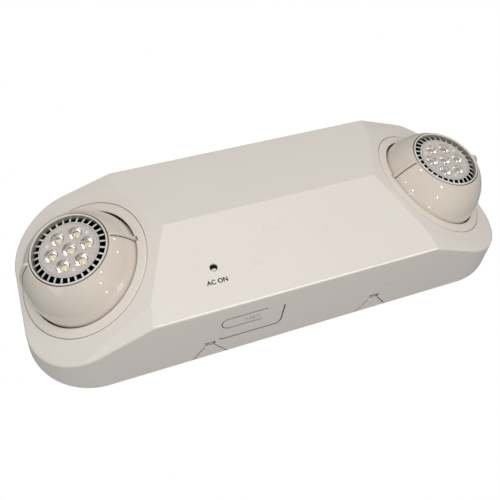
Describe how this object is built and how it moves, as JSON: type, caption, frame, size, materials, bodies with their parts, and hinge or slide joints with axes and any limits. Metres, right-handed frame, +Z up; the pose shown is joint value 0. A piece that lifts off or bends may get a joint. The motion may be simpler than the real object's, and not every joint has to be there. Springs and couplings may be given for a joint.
{
  "type": "emergency light",
  "caption": "Wall-mounted emergency light: long faceted housing with a swivelling eyeball lamp head at each end, a push-to-test tongue and a pilot light.",
  "frame": {"origin": "centre of the back face, in the middle of the wire entry and of the outlet-box screw slots", "axes": "+X to the right seen from the front, +Z up, the wall at +Y and the front towards -Y"},
  "size_m": [0.39, 0.0773, 0.15],
  "materials": {
    "housing_plastic": "fine satin grain",
    "turret_plastic": "satin",
    "eyeball_plastic": "glossy",
    "bezel_plastic": "glossy",
    "lamp_core_black": "black",
    "lamp_metal": "painted white",
    "lens_clear": "clear",
    "chip_yellow": "phosphor",
    "lamp_board_white": "white solder mask",
    "socket_white": "ceramic",
    "spring_steel": "plain",
    "screw_steel": "zinc plated",
    "board_green": "solder mask",
    "transformer_steel": "varnished",
    "capacitor_black": "sleeve",
    "relay_plastic": "plain",
    "terminal_plastic": "plain",
    "switch_plastic": "plain",
    "pipe_clear": "clear",
    "pilot_red": "plain",
    "battery_case": "plain",
    "terminal_brass": "tin plated",
    "bushing_rubber": "plain"
  },
  "bodies": {
    "housing": {"front_cover": "housing_plastic", "back_plate": "housing_plastic", "wire_bushing": "bushing_rubber", "circuit_board": "board_green", "board_screws": "screw_steel", "transformer": "transformer_steel", "capacitors": "capacitor_black", "relay": "relay_plastic", "wire_terminal": "terminal_plastic", "test_switch": "switch_plastic", "pilot_light_pipe": "pipe_clear", "pilot_led": "pilot_red", "battery": "battery_case", "battery_terminals": "terminal_brass", "battery_strap": "spring_steel", "strap_screws": "screw_steel"},
    "test_tongue": {"test_tongue": "housing_plastic"},
    "turret_left": {"turret_ring_left": "turret_plastic", "turret_clip_left": "turret_plastic", "tilt_pins_left": "screw_steel"},
    "head_left": {"eyeball_lower_left": "eyeball_plastic", "eyeball_upper_left": "eyeball_plastic", "lamp_bezel_left": "bezel_plastic", "lamp_spring_left": "spring_steel", "lamp_body_left": "lamp_core_black", "lamp_fins_left": "lamp_metal", "lamp_board_left": "lamp_board_white", "led_chips_left": "chip_yellow", "lamp_lens_left": "lens_clear", "lamp_socket_left": "socket_white"},
    "turret_right": {"turret_ring_right": "turret_plastic", "turret_clip_right": "turret_plastic", "tilt_pins_right": "screw_steel"},
    "head_right": {"eyeball_lower_right": "eyeball_plastic", "eyeball_upper_right": "eyeball_plastic", "lamp_bezel_right": "bezel_plastic", "lamp_spring_right": "spring_steel", "lamp_body_right": "lamp_core_black", "lamp_fins_right": "lamp_metal", "lamp_board_right": "lamp_board_white", "led_chips_right": "chip_yellow", "lamp_lens_right": "lens_clear", "lamp_socket_right": "socket_white"}
  },
  "joints": [
    {"name": "turret_left_turn", "type": "hinge", "parent": "housing", "child": "turret_left", "pos_m": [-0.14109, -0.03812, 0], "axis": [-0.4411, -0.8974, 0], "range_deg": [-170, 170]},
    {"name": "head_left_tilt", "type": "hinge", "parent": "turret_left", "child": "head_left", "pos_m": [-0.14109, -0.03812, 0], "axis": [0, 0, 1], "range_deg": [-31.68, 4.32]},
    {"name": "turret_right_turn", "type": "hinge", "parent": "housing", "child": "turret_right", "pos_m": [0.14109, -0.03812, 0], "axis": [0.4411, -0.8974, 0], "range_deg": [-170, 170]},
    {"name": "head_right_tilt", "type": "hinge", "parent": "turret_right", "child": "head_right", "pos_m": [0.14109, -0.03812, 0], "axis": [0, 0, 1], "range_deg": [-2.82, 33.18]},
    {"name": "test_tongue_press", "type": "hinge", "parent": "housing", "child": "test_tongue", "pos_m": [-0.026, -0.03677, -0.06923], "axis": [0, 0.9925, -0.1219], "range_deg": [0, 3], "stiffness_Nm_per_rad": 1.5, "springref_deg": -1.15}
  ]
}
